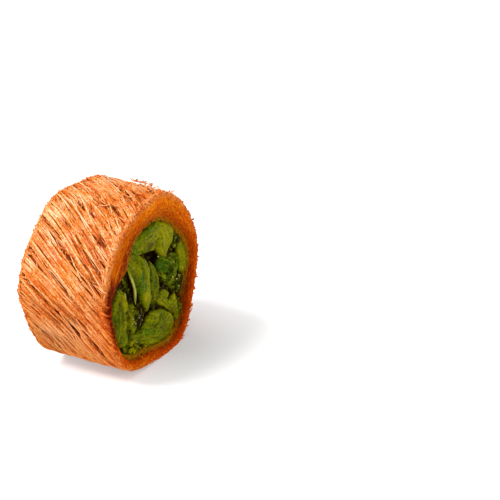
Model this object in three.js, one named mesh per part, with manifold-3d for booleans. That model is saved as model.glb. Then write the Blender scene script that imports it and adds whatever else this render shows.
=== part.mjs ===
// A short roll of shredded pastry wound round a pistachio filling, lying on its side.
// Millimetres, +Z up. The roll's axis runs along X, with the shown cut face at +X,
// and the roll rests on a small flat spot at z = 0.

import * as THREE from 'three';
import Module from 'manifold-3d';
import { mergeVertices } from 'three/addons/utils/BufferGeometryUtils.js';

const wasm = await Module();
wasm.setup();

// Driving dimensions of the roll
const rollLength = 21.6;
const shownEnd = {
  radius: 20.1,
  lean: { y: -0.020, z: -0.009 },
  // Soft corners that the pressed section has, as waves round it: how many, how high, where
  corners: [
    { count: 2, swell: 0.45, at: -66 },
    { count: 3, swell: 0.31, at: 47 },
    { count: 4, swell: 0.38, at: 41 },
    { count: 5, swell: 0.51, at: 10 },
    { count: 6, swell: 0.25, at: -6 },
  ],
  // and where it is pressed in or out
  bumps: [{ at: 78, width: 10, rise: 0.6 }],
};
const farEnd = {
  radius: 21.0,
  lean: { y: 0.017, z: 0.008 },
  corners: [
    { count: 3, swell: 0.25, at: 45 },
    { count: 4, swell: 0.25, at: 40 },
    { count: 7, swell: 0.42, at: 163 },
  ],
  bumps: [
    { at: 177, width: 11, rise: 0.8 },
    { at: -148, width: 11, rise: -0.8 },
  ],
};
const restDepth = 19.5;

// Strands of the pastry, which wind round the roll
const strandCount = 120;
// Millimetres round for each millimetre along: least on top, most at the front's foot,
// and more towards the shown end
const wind = { least: 0.68, more: 1.75, at: 225, width: 36, gain: 0.35 };
const windStep = 0.4;
const sideRows = 8;
const strandRise = 0.22;
const strandGroove = 0.20;
const strandScatter = 0.28;
const strandWander = 0.25;
const strandWave = 0.08;
// Some grooves are deeper, where two bundles of strands part
const bundleGroove = 0.45;
const bundleShare = 0.22;

// The pastry's cut face round the filling: a soft shoulder, then a face that sinks to the lip.
// Shoulder and lip take no more than a share of the wall where the wall is thin.
const shoulder = { along: 1.2, inwards: 1.7, wallShare: 0.32 };
const faceRough = 0.14;
const faceMiddle = { reach: 0.55, drop: 0.25 };
const lipDrop = 1.5;
const lipRounding = 0.9;
const lipReach = 0.35;
const lipWallShare = 0.3;
// A sticky hollow in the shown face, at the left of the filling
const hollow = { at: 178, width: 27, depth: 0.5 };

// The opening that the filling fills: it lies low, so the pastry is thick above it, it has soft
// corners of its own, and the pastry bulges into it at the left
const opening = {
  radius: 15.4,
  corners: [
    { count: 1, swell: 2.50, at: -76 },
    { count: 2, swell: 0.24, at: 13 },
    { count: 3, swell: 0.62, at: -44 },
    { count: 4, swell: 0.52, at: 24 },
    { count: 5, swell: 0.45, at: 10 },
    { count: 6, swell: 0.40, at: 0 },
  ],
  bumps: [{ at: 146, width: 22, rise: -1.7 }],
  middle: { y: 0.6, z: -2.4 },
};
const wallRows = 4;
const clearance = 0.3;

// The filling's core, and the kernels that show at its ends
const coreDrop = 3.0;
const coreRows = 3;
const coreColumns = 36;
const coreCapRings = [0.78, 0.55, 0.3];
const coreRough = 0.45;
const kernelThickness = 5.4;
const kernelFullness = 0.85;
const kernelTip = { least: 0.12, more: 0.16 };
const kernelGroove = { least: 0.10, more: 0.10, width: 0.3 };
const kernelTilt = 0.12;
const kernelLump = 0.06;
const kernelGap = 0.4;
const kernelLid = 0.55;
const smallKernel = 7;
// Kernels of the shown end: place on the cut face, length, width, turn and how deep the top lies
const shownKernels = [
  { y: 0.0, z: 10.0, length: 12.0, width: 6.2, turn: 6, drop: 1.1 },
  { y: 7.3, z: 7.3, length: 9.0, width: 6.8, turn: 123, drop: 0.9 },
  { y: -3.3, z: 1.9, length: 15.4, width: 6.0, turn: 110, drop: 1.0 },
  { y: 2.1, z: -1.7, length: 10.8, width: 3.8, turn: 99, drop: 1.2 },
  { y: -7.2, z: 1.6, length: 11.0, width: 1.2, turn: 104, drop: 0.9 },
  { y: -12.1, z: -3.8, length: 13.6, width: 4.8, turn: 86, drop: 1.1 },
  { y: -6.6, z: -6.3, length: 8.2, width: 6.4, turn: 75, drop: 1.6 },
  { y: 2.6, z: -12.7, length: 14.6, width: 8.8, turn: 158, drop: 0.8 },
  { y: 5.7, z: -6.8, length: 6.2, width: 3.6, turn: 143, drop: 1.3 },
  { y: 9.4, z: -10.0, length: 5.6, width: 4.2, turn: 120, drop: 1.3 },
  { y: 8.9, z: -0.8, length: 11.0, width: 6.8, turn: 145, drop: 1.6 },
  { y: 12.5, z: -5.7, length: 6.6, width: 4.4, turn: 148, drop: 1.9 },
  { y: 14.9, z: 0.2, length: 8.8, width: 4.8, turn: 99, drop: 1.3 },
  { y: -6.9, z: -13.1, length: 9.0, width: 5.6, turn: 152, drop: 1.8 },
  { y: 12.7, z: -13.6, length: 5.0, width: 3.8, turn: 100, drop: 1.7 },
  { y: 13.1, z: 5.2, length: 4.8, width: 2.2, turn: 89, drop: 2.2 },
  { y: -8.2, z: 1.4, length: 7.4, width: 2.6, turn: 107, drop: 2.6 },
];
// Kernels of the far end lie in two rings round one in the middle
const farRings = [
  { kernels: 1, radius: 0 },
  { kernels: 6, radius: 6.6 },
  { kernels: 9, radius: 12.9 },
];
const farKernel = { length: 9.4, width: 6.6, scatter: 0.25, turn: 35, drop: 0.8, moreDrop: 1.1 };

const fineColumns = strandCount * 2;
const finePerCoarse = 3;
const coarseColumns = fineColumns / finePerCoarse;

function seededRandom(seed) {
  let state = seed;
  return () => {
    state = (state + 0x6d2b79f5) | 0;
    let mixed = Math.imul(state ^ (state >>> 15), 1 | state);
    mixed = (mixed + Math.imul(mixed ^ (mixed >>> 7), 61 | mixed)) ^ mixed;
    return ((mixed ^ (mixed >>> 14)) >>> 0) / 4294967296;
  };
}

// A number between -1 and 1
function spread(random) {
  return random() * 2 - 1;
}

// A round outline's radius at an angle, with its soft corners and its bumps
function outlineRadius(outline, angle) {
  let radius = outline.radius;
  for (const corner of outline.corners) {
    const crest = THREE.MathUtils.degToRad(corner.at);
    radius += corner.swell * Math.cos(corner.count * (angle - crest));
  }
  for (const bump of outline.bumps) {
    const away = degreesFrom(angle, bump.at) / bump.width;
    radius += bump.rise * Math.exp(-(away ** 2));
  }
  return radius;
}

// The outside of the roll without its strands, at an angle and at a share of the length
function outsideRadius(angle, share) {
  return THREE.MathUtils.lerp(outlineRadius(farEnd, angle), outlineRadius(shownEnd, angle), share);
}

// The signed way from one angle to another in degrees, the short way round
function degreesFrom(angle, degrees) {
  const away = THREE.MathUtils.radToDeg(angle) - degrees;
  return THREE.MathUtils.euclideanModulo(away + 180, 360) - 180;
}

// The angle that a strand has at x, when it crosses the middle of the roll at another
function windAngle(middleAngle, x) {
  const steps = Math.max(1, Math.round(Math.abs(x) / windStep));
  let angle = middleAngle;
  for (let i = 0; i < steps; i += 1) {
    const away = degreesFrom(angle, wind.at) / wind.width;
    const share = ((i + 0.5) * x) / steps / rollLength;
    const slope = wind.least + wind.gain * share + wind.more * Math.exp(-(away ** 2));
    angle += (slope * x) / steps / farEnd.radius;
  }
  return angle;
}

function openingRadius(angle) {
  return outlineRadius(opening, angle);
}

// A point of the roll. The cut faces lean a little, more so towards each end.
function place(radius, angle, x) {
  const y = radius * Math.cos(angle);
  const z = Math.max(radius * Math.sin(angle), -restDepth);
  const share = x / rollLength + 0.5;
  const leanY = THREE.MathUtils.lerp(farEnd.lean.y, shownEnd.lean.y, share);
  const leanZ = THREE.MathUtils.lerp(farEnd.lean.z, shownEnd.lean.z, share);
  return new THREE.Vector3(x + leanY * y + leanZ * z, y, z);
}

// Joins rings of points with triangles, and keeps one list of points and one of faces
class SkinBuilder {
  constructor() {
    this.points = [];
    this.faces = [];
  }

  ring(points) {
    const first = this.points.length;
    this.points.push(...points);
    return { first, count: points.length };
  }

  at(ring, index) {
    return ring.first + THREE.MathUtils.euclideanModulo(index, ring.count);
  }

  // Two rings with as many points each
  bridge(ringA, ringB) {
    for (let i = 0; i < ringA.count; i += 1) {
      const a = this.at(ringA, i);
      const b = this.at(ringA, i + 1);
      const c = this.at(ringB, i + 1);
      const d = this.at(ringB, i);
      this.faces.push([a, b, c], [a, c, d]);
    }
  }

  // Two rings whose points lie at their own angles
  zip(ringA, anglesA, ringB, anglesB) {
    const turn = 2 * Math.PI;
    const unwound = (angles, index) => (
      angles[index % angles.length] + turn * Math.floor(index / angles.length)
    );
    const behind = THREE.MathUtils.euclideanModulo(anglesA[0] - anglesB[0], turn);
    const start = anglesB.filter((angle) => angle - anglesB[0] <= behind).length - 1;
    const lag = anglesA[0] - behind - anglesB[0];
    let i = 0;
    let j = 0;
    while (i < ringA.count || j < ringB.count) {
      const nextA = unwound(anglesA, i + 1);
      const nextB = unwound(anglesB, start + j + 1) + lag;
      if (j === ringB.count || (i < ringA.count && nextA <= nextB)) {
        this.faces.push([this.at(ringA, i), this.at(ringA, i + 1), this.at(ringB, start + j)]);
        i += 1;
      } else {
        this.faces.push([this.at(ringA, i), this.at(ringB, start + j + 1), this.at(ringB, start + j)]);
        j += 1;
      }
    }
  }

  // Closes a ring with a fan round one point
  cap(ring, point, outwards) {
    const middle = this.points.length;
    this.points.push(point);
    for (let i = 0; i < ring.count; i += 1) {
      const a = this.at(ring, i);
      const b = this.at(ring, i + 1);
      this.faces.push(outwards ? [a, b, middle] : [b, a, middle]);
    }
  }

  geometry() {
    const geometry = new THREE.BufferGeometry();
    const numbers = new Float32Array(this.points.flatMap((point) => point.toArray()));
    geometry.setAttribute('position', new THREE.BufferAttribute(numbers, 3));
    geometry.setIndex(this.faces.flat());
    return geometry;
  }
}

// Strands as ridges: even columns are grooves and odd ones crests, each with its own height
function makeStrands(random) {
  const columns = [];
  const step = (2 * Math.PI) / fineColumns;
  for (let i = 0; i < fineColumns; i += 1) {
    const crest = i % 2 === 1;
    const deep = !crest && random() < bundleShare;
    const rise = crest ? strandRise * (0.5 + random()) : -strandGroove * (0.4 + 1.2 * random());
    columns.push({
      angle: step * (i + strandScatter * spread(random)),
      rise: rise - (deep ? bundleGroove * (0.5 + 0.5 * random()) : 0),
      phase: 2 * Math.PI * random(),
      waves: 0.6 + 1.2 * random(),
    });
  }
  return columns;
}

function strandPoint(column, x, share) {
  const wave = Math.sin(column.phase + 2 * Math.PI * column.waves * share);
  const angle = windAngle(column.angle, x);
  const relief = column.rise * (1 + strandWander * wave) + strandWave * wave;
  return place(outsideRadius(angle, share) + relief, angle, x);
}

function hollowDepth(angle, side) {
  const away = degreesFrom(angle, hollow.at) / hollow.width;
  return side > 0 ? hollow.depth * Math.exp(-(away ** 4)) : 0;
}

// The cut face of the pastry at one end, from its outer edge to the lip at the filling
function cutFace(skin, strands, edge, side, random) {
  const share = side > 0 ? 1 : 0;
  const fineAngles = strands.map((column) => windAngle(column.angle, side * (rollLength / 2)));
  const coarseAngles = [];
  const between = (depth, reach) => strands.map((column, i) => {
    const angle = fineAngles[i];
    const thickness = outsideRadius(angle, share) - openingRadius(angle);
    const shoulderWidth = Math.min(shoulder.inwards, shoulder.wallShare * thickness);
    const outer = outsideRadius(angle, share) - shoulderWidth + 0.5 * column.rise;
    const inner = openingRadius(angle) + Math.min(lipRounding, lipWallShare * thickness);
    const sunk = depth > 0 ? hollowDepth(angle, side) : 0;
    const x = side * (rollLength / 2 - depth - sunk) + faceRough * spread(random);
    return place(THREE.MathUtils.lerp(outer, inner, reach), angle, x);
  });
  const outerRing = skin.ring(between(0, 0));
  const middleRing = skin.ring(between(faceMiddle.drop * lipDrop, faceMiddle.reach));
  const lip = [];
  const wall = [];
  for (let k = 0; k < coarseColumns; k += 1) {
    const angle = (2 * Math.PI * k) / coarseColumns;
    coarseAngles.push(angle);
    const lipX = side * (rollLength / 2 - lipDrop - 0.5 * hollowDepth(angle, side));
    const lipRadius = openingRadius(angle) + lipReach * lipRounding;
    lip.push(place(lipRadius, angle, lipX + faceRough * spread(random)));
    wall.push(place(openingRadius(angle), angle, side * (rollLength / 2 - lipDrop - lipRounding)));
  }
  const lipRing = skin.ring(lip);
  const wallRing = skin.ring(wall);
  const outwards = side > 0;
  if (outwards) {
    skin.bridge(edge, outerRing);
    skin.bridge(outerRing, middleRing);
    skin.zip(middleRing, fineAngles, lipRing, coarseAngles);
    skin.bridge(lipRing, wallRing);
  } else {
    skin.bridge(outerRing, edge);
    skin.bridge(middleRing, outerRing);
    skin.zip(lipRing, coarseAngles, middleRing, fineAngles);
    skin.bridge(wallRing, lipRing);
  }
  return wallRing;
}

// The wound pastry: a wall of strands with the opening for the filling right through it
function pastryGeometry() {
  const random = seededRandom(7);
  const strands = makeStrands(random);
  const skin = new SkinBuilder();
  const reach = rollLength / 2 - shoulder.along;
  let last = null;
  let first = null;
  for (let row = 0; row <= sideRows; row += 1) {
    const x = THREE.MathUtils.lerp(-reach, reach, row / sideRows);
    const share = x / rollLength + 0.5;
    const ring = skin.ring(strands.map((column) => strandPoint(column, x, share)));
    if (last) {
      skin.bridge(last, ring);
    } else {
      first = ring;
    }
    last = ring;
  }
  const shownWall = cutFace(skin, strands, last, 1, random);
  const farWall = cutFace(skin, strands, first, -1, random);
  const wallReach = rollLength / 2 - lipDrop - lipRounding;
  let inner = shownWall;
  for (let row = 1; row < wallRows; row += 1) {
    const x = THREE.MathUtils.lerp(wallReach, -wallReach, row / wallRows);
    const points = [];
    for (let k = 0; k < coarseColumns; k += 1) {
      const angle = (2 * Math.PI * k) / coarseColumns;
      points.push(place(openingRadius(angle), angle, x));
    }
    const ring = skin.ring(points);
    skin.bridge(inner, ring);
    inner = ring;
  }
  skin.bridge(inner, farWall);
  return skin.geometry();
}

// The filling's core: what lies behind the kernels, with uneven ends
function coreGeometry() {
  const random = seededRandom(23);
  const skin = new SkinBuilder();
  const reach = rollLength / 2 - coreDrop;
  const ringAt = (x, share, rough) => {
    const points = [];
    for (let k = 0; k < coreColumns; k += 1) {
      const angle = (2 * Math.PI * k) / coreColumns;
      const radius = (openingRadius(angle) - clearance) * share;
      points.push(place(radius, angle, x + rough * share * spread(random)));
    }
    return skin.ring(points);
  };
  const rings = coreCapRings.map((share) => ringAt(-reach, share, coreRough)).reverse();
  for (let row = 0; row <= coreRows; row += 1) {
    rings.push(ringAt(THREE.MathUtils.lerp(-reach, reach, row / coreRows), 1, 0));
  }
  rings.push(...coreCapRings.map((share) => ringAt(reach, share, coreRough)));
  for (let i = 1; i < rings.length; i += 1) {
    skin.bridge(rings[i - 1], rings[i]);
  }
  skin.cap(rings[0], place(0, 0, -reach), false);
  skin.cap(rings[rings.length - 1], place(0, 0, reach), true);
  return skin.geometry();
}

// Makes the middle of an oval fuller
function fuller(value) {
  return Math.sign(value) * Math.abs(value) ** kernelFullness;
}

// What differs from kernel to kernel beyond its size
function withOwnShape(kernel, random) {
  return {
    ...kernel,
    tip: kernelTip.least + kernelTip.more * random(),
    groove: kernelGroove.least + kernelGroove.more * random(),
    tilt: kernelTilt * spread(random),
  };
}

// One kernel: a long oval with a blunter and a sharper tip and a shallow groove along its top,
// pressed back where it meets the pastry
function kernelGeometry(kernel, side, random) {
  const geometry = new THREE.IcosahedronGeometry(1, kernel.length < smallKernel ? 1 : 2);
  geometry.deleteAttribute('normal');
  geometry.deleteAttribute('uv');
  const merged = mergeVertices(geometry, 1e-4);
  const position = merged.getAttribute('position');
  const turn = THREE.MathUtils.degToRad(kernel.turn);
  const thickness = Math.min(kernelThickness, kernel.width * 1.3 + 2);
  const point = new THREE.Vector3();
  for (let i = 0; i < position.count; i += 1) {
    point.fromBufferAttribute(position, i);
    const lump = 1 + kernelLump * spread(random);
    const narrow = 1 - kernel.tip * point.y * Math.abs(point.y);
    const along = fuller(point.y) * lump * (kernel.length / 2);
    const across = fuller(point.z) * narrow * lump * (kernel.width / 2);
    const furrow = Math.exp(-((point.z / kernelGroove.width) ** 2));
    const dip = kernel.groove * furrow * Math.max(point.x, 0);
    const up = (point.x * narrow - dip) * (thickness / 2) + kernel.tilt * along;
    const y = kernel.y + along * Math.cos(turn) - across * Math.sin(turn);
    const z = kernel.z + along * Math.sin(turn) + across * Math.cos(turn);
    const angle = Math.atan2(z, y);
    const radius = Math.min(Math.hypot(y, z), openingRadius(angle) - kernelGap);
    const x = rollLength / 2 - kernel.drop - thickness / 2 + up;
    const lid = Math.min(x, rollLength / 2 - kernelLid);
    const placed = place(radius, angle, side * lid);
    position.setXYZ(i, placed.x, placed.y, placed.z);
  }
  if (side < 0) {
    const index = merged.getIndex();
    for (let i = 0; i < index.count; i += 3) {
      const b = index.getX(i + 1);
      index.setX(i + 1, index.getX(i + 2));
      index.setX(i + 2, b);
    }
  }
  return merged;
}

function farKernels(random) {
  const kernels = [];
  for (const ring of farRings) {
    for (let i = 0; i < ring.kernels; i += 1) {
      const scattered = i + farKernel.scatter * spread(random);
      const angle = (2 * Math.PI * scattered) / ring.kernels;
      kernels.push({
        y: opening.middle.y + ring.radius * Math.cos(angle),
        z: opening.middle.z + ring.radius * Math.sin(angle),
        length: farKernel.length * (1 + farKernel.scatter * spread(random)),
        width: farKernel.width * (1 + farKernel.scatter * spread(random)),
        turn: THREE.MathUtils.radToDeg(angle) + 90 + farKernel.turn * spread(random),
        drop: farKernel.drop + farKernel.moreDrop * random(),
      });
    }
  }
  return kernels;
}

function solidOf(geometry) {
  const position = geometry.getAttribute('position');
  return new wasm.Manifold(new wasm.Mesh({
    numProp: 3,
    vertProperties: new Float32Array(position.array),
    triVerts: new Uint32Array(geometry.getIndex().array),
  }));
}

function geometryOf(solid) {
  const mesh = solid.getMesh();
  const geometry = new THREE.BufferGeometry();
  geometry.setAttribute('position', new THREE.BufferAttribute(new Float32Array(mesh.vertProperties), 3));
  geometry.setIndex(new THREE.BufferAttribute(new Uint32Array(mesh.triVerts), 1));
  return geometry;
}

// The filling: its core with the kernels of both ends joined on
function fillingGeometry() {
  const shapes = seededRandom(41);
  const lumps = seededRandom(53);
  const ends = [
    { side: 1, kernels: shownKernels },
    { side: -1, kernels: farKernels(seededRandom(29)) },
  ];
  let solid = solidOf(coreGeometry());
  for (const end of ends) {
    for (const kernel of end.kernels) {
      const shaped = withOwnShape(kernel, shapes);
      solid = solid.add(solidOf(kernelGeometry(shaped, end.side, lumps)));
    }
  }
  return geometryOf(solid);
}

function meshOf(name, geometry, color, roughness) {
  const material = new THREE.MeshStandardMaterial({ color, roughness, metalness: 0, flatShading: true });
  const mesh = new THREE.Mesh(geometry, material);
  mesh.name = name;
  return mesh;
}

const pastry = meshOf('pastry_roll', pastryGeometry(), 0xd2803f, 0.45);
const filling = meshOf('pistachio_filling', fillingGeometry(), 0x7b8a1c, 0.5);

// The whole stands on the flat spot, with the origin under the middle of its box
const roll = new THREE.Group();
roll.add(pastry, filling);
const box = new THREE.Box3().setFromObject(roll);
const middle = box.getCenter(new THREE.Vector3());
roll.position.set(-middle.x, -middle.y, -box.min.z);

export default roll;
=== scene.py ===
import bpy
import math
import random
import numpy as np
from mathutils import Matrix, Vector


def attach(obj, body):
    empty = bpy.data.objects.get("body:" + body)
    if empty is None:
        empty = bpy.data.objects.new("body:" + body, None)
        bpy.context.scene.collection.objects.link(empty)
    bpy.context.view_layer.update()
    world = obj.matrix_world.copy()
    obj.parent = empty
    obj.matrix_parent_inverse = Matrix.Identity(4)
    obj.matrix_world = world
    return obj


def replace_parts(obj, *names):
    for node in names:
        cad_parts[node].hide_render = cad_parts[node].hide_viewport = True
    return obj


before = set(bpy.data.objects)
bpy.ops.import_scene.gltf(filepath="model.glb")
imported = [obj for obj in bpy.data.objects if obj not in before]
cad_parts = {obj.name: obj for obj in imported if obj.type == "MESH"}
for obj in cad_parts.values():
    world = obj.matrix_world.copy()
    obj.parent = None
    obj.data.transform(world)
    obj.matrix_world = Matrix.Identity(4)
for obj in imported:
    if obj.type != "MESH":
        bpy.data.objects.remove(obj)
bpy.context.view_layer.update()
bpy.ops.object.select_all(action="DESELECT")
print("frame loaded")

mm = 0.001

# The roll's form, in millimetres from the middle of its axis, as the solids have it
roll = {
    "middle": (-0.0143, 0.4066, 19.5),
    "length": 21.6,
    "restDepth": 19.5,
    "shoulderAlong": 1.2,
    "shoulderWidth": 1.7,
    "shoulderShare": 0.32,  # at most this share of the wall
    "lipDrop": 1.5,
    "lipRounding": 0.9,
    "lipShare": 0.3,
    "hollow": (178, 27, 0.5),  # a sticky hollow left of the filling: angle, half width, depth
}
halfLength = roll["length"] / 2

# Outlines of the ends and of the opening that the filling fills: soft corners as waves round them
# (how many, how high, where), and where they are pressed in or out (angle, half width, rise)
shownEnd = {
    "radius": 20.1,
    "lean": (-0.020, -0.009),
    "corners": [(2, 0.45, -66), (3, 0.31, 47), (4, 0.38, 41), (5, 0.51, 10), (6, 0.25, -6)],
    "bumps": [(78, 10, 0.6)],
}
farEnd = {
    "radius": 21.0,
    "lean": (0.017, 0.008),
    "corners": [(3, 0.25, 45), (4, 0.25, 40), (7, 0.42, 163)],
    "bumps": [(177, 11, 0.8), (-148, 11, -0.8)],
}
opening = {
    "radius": 15.4,
    "corners": [(1, 2.50, -76), (2, 0.24, 13), (3, 0.62, -44), (4, 0.52, 24), (5, 0.45, 10), (6, 0.40, 0)],
    "bumps": [(146, 22, -1.7)],
    "middle": (0.6, -2.4),
    "clearance": 0.3,
}

# How the strands wind: millimetres round for each millimetre along
wind = {"least": 0.68, "more": 1.75, "at": 225, "width": 36, "gain": 0.35, "steps": 40}


def blendTo(a, b, share):
    return a + (b - a) * share


def degreesFrom(angle, degrees):
    return (np.degrees(angle) - degrees + 180) % 360 - 180


# From 0 to 1 as a value goes from one number on by some way
def ramp(value, start, way):
    return np.clip((value - start) / way, 0, 1)


# 1 at the middle and 0 well away from it, with a flatter top for a higher power
def hump(value, middle, width, power=2):
    return np.exp(-((value - middle) / width) ** power)


# The same round the roll, at an angle in degrees
def near(angle, degrees, width, power=2):
    return hump(degreesFrom(angle, degrees), 0, width, power)


def outlineRadius(outline, angle):
    radius = outline["radius"] + 0 * angle
    for count, swell, at in outline["corners"]:
        radius = radius + swell * np.cos(count * (angle - math.radians(at)))
    for at, width, rise in outline["bumps"]:
        radius = radius + rise * near(angle, at, width)
    return radius


def outsideRadius(angle, share):
    return blendTo(outlineRadius(farEnd, angle), outlineRadius(shownEnd, angle), share)


def openingRadius(angle):
    return outlineRadius(opening, angle)


def stickyHollow(angle, side):
    return near(angle, roll["hollow"][0], roll["hollow"][1], 4) * (side > 0)


# How far in the rounded shoulder reaches
def shoulderWidth(outside, inner):
    return np.minimum(roll["shoulderWidth"], roll["shoulderShare"] * (outside - inner))


# A cut face, from its outer edge (0) to the opening (1): where its shoulder ends and its lip starts,
# and how it sinks and leans between them
face = {"shoulder": 0.32, "lip": 0.86, "sinks": 1.8, "leans": -0.3}


# A place on it, and how its surface faces there: (radius, place along, outwards, along)
def facePlace(angle, reach, side):
    outside = outsideRadius(angle, 0.5 + 0.5 * side)
    inner = openingRadius(angle)
    shoulder = shoulderWidth(outside, inner)
    lip = np.minimum(roll["lipRounding"], roll["lipShare"] * (outside - inner))
    turn = ramp(reach, 0, face["shoulder"]) * np.pi / 2
    flat = ramp(reach, face["shoulder"], face["lip"] - face["shoulder"])
    fold = ramp(reach, face["lip"], 1 - face["lip"]) * np.pi / 2
    hollow = roll["hollow"][2] * stickyHollow(angle, side) * ramp(reach, 0.30, 0.3)
    between = outside - shoulder - inner - lip
    radius = outside - shoulder * (1 - np.cos(turn)) - between * flat - lip * np.sin(fold)
    x = (halfLength - roll["shoulderAlong"] * (1 - np.sin(turn)) - roll["lipDrop"] * flat ** face["sinks"]
         - lip * (1 - np.cos(fold)) - hollow * (1 - 0.4 * fold))
    outwards = np.where(flat > 0, face["leans"] * flat - np.sin(fold), np.cos(turn))
    along = np.where(flat > 0, np.cos(fold), np.sin(turn))
    size = np.hypot(outwards, along)
    return radius, x, outwards / size, along / size


# How far the strands bend inwards where they reach the shoulder
def shoulderBend(angle, x):
    width = shoulderWidth(outsideRadius(angle, 0.5 + 0.5 * np.sign(x)), openingRadius(angle))
    run = np.clip((np.abs(x) - halfLength) / roll["shoulderAlong"] + 1, 0, 1)
    return width * (1 - np.sqrt(1 - run ** 2))


def windSlope(angle, x):
    steeper = wind["more"] * near(angle, wind["at"], wind["width"])
    return wind["least"] + wind["gain"] * x / roll["length"] + steeper


# The angle that a strand has at one place along, when it has another at the start
def followWind(angle, start, end):
    step = (end - start) / wind["steps"]
    for i in range(wind["steps"]):
        angle = angle + windSlope(angle, start + step * (i + 0.5)) * step / farEnd["radius"]
    return angle


# Points in metres, in the frame, from a radius, an angle and a place along the axis
def placeOnRoll(radius, angle, x, above=0.0):
    y = radius * np.cos(angle)
    z = np.maximum(radius * np.sin(angle), above - roll["restDepth"])
    share = x / roll["length"] + 0.5
    leanY, leanZ = (blendTo(far, shown, share) for far, shown in zip(farEnd["lean"], shownEnd["lean"]))
    return (np.stack([x + leanY * y + leanZ * z, y, z], axis=-1) + roll["middle"]) * mm


# Smooth noise from 0 to 1, the same on every run
def softNoise(x, y, z, seed=0):
    x, y, z = np.broadcast_arrays(x, y, z)
    ix, iy, iz = (np.floor(v).astype(np.int64) for v in (x, y, z))
    ux, uy, uz = ((v - i) ** 2 * (3 - 2 * (v - i)) for v, i in ((x, ix), (y, iy), (z, iz)))

    def corner(dx, dy, dz):
        mixed = (ix + dx) * 374761393 + (iy + dy) * 668265263 + (iz + dz) * 144665129 + seed * 9176741
        mixed = mixed & 0xFFFFFFFF
        mixed = ((mixed ^ (mixed >> 13)) * 1274126177) & 0xFFFFFFFF
        return ((mixed ^ (mixed >> 16)) & 0xFFFF) / 65535

    def edge(dy, dz):
        return blendTo(corner(0, dy, dz), corner(1, dy, dz), ux)

    return blendTo(blendTo(edge(0, 0), edge(1, 0), uy), blendTo(edge(0, 1), edge(1, 1), uy), uz)


# The same numbers that the solids' kernels were laid with
def solidRandom(seed):
    state = [seed]

    def multiply(a, b):
        return (a * b) & 0xFFFFFFFF

    def draw():
        state[0] = (state[0] + 0x6D2B79F5) & 0xFFFFFFFF
        s = state[0]
        mixed = multiply(s ^ (s >> 15), 1 | s)
        mixed = ((mixed + multiply(mixed ^ (mixed >> 7), 61 | mixed)) & 0xFFFFFFFF) ^ mixed
        return (mixed ^ (mixed >> 14)) / 4294967296

    return draw


# A colour from its red, green and blue levels, each up to 255
def paint(*levels):
    shares = [level / 255 for level in levels]
    return (*(c / 12.92 if c <= 0.04045 else ((c + 0.055) / 1.055) ** 2.4 for c in shares), 1.0)


def addNode(tree, kind, inputs=None, **settings):
    node = tree.nodes.new(kind)
    for name, value in settings.items():
        setattr(node, name, value)
    setInputs(node, inputs or {})
    return node


def setInputs(node, inputs):
    for name, value in inputs.items():
        if isinstance(value, bpy.types.NodeSocket):
            node.id_data.links.new(value, node.inputs[name])
        else:
            node.inputs[name].default_value = value


# The next four build on a socket, in the tree that it belongs to
def mathNode(operation, socket, *values, clamp=False):
    inputs = dict(enumerate((socket, *values)))
    return addNode(socket.id_data, "ShaderNodeMath", inputs, operation=operation, use_clamp=clamp).outputs[0]


def mixColors(share, socket, other, blend="MIX"):
    inputs = {0: share, 6: socket, 7: other}
    return addNode(socket.id_data, "ShaderNodeMix", inputs, data_type="RGBA", blend_type=blend).outputs[2]


def rangeNode(socket, low, high, toLow=0.0, toHigh=1.0):
    inputs = dict(enumerate((socket, low, high, toLow, toHigh)))
    return addNode(socket.id_data, "ShaderNodeMapRange", inputs, clamp=True).outputs["Result"]


def noiseNode(socket, scale, detail=2.0, rough=0.5):
    inputs = {"Vector": socket, "Scale": scale, "Detail": detail, "Roughness": rough}
    return addNode(socket.id_data, "ShaderNodeTexNoise", inputs).outputs["Fac"]


# A group that works out one finish, with its inputs and what each is without a link
def newGroup(name, inputs):
    kinds = {type(None): "NodeSocketVector", float: "NodeSocketFloat", tuple: "NodeSocketColor"}
    tree = bpy.data.node_groups.new(name, "ShaderNodeTree")
    for label, value in inputs.items():
        socket = tree.interface.new_socket(name=label, in_out="INPUT", socket_type=kinds[type(value)])
        if value is not None:
            socket.default_value = value
    for label in ("Color", "Roughness", "Syrup", "Height"):
        kind = kinds[tuple if label == "Color" else float]
        tree.interface.new_socket(name=label, in_out="OUTPUT", socket_type=kind)
    return tree, tree.nodes.new("NodeGroupInput").outputs


def endGroup(tree, **results):
    addNode(tree, "NodeGroupOutput", results)
    return tree


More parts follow.
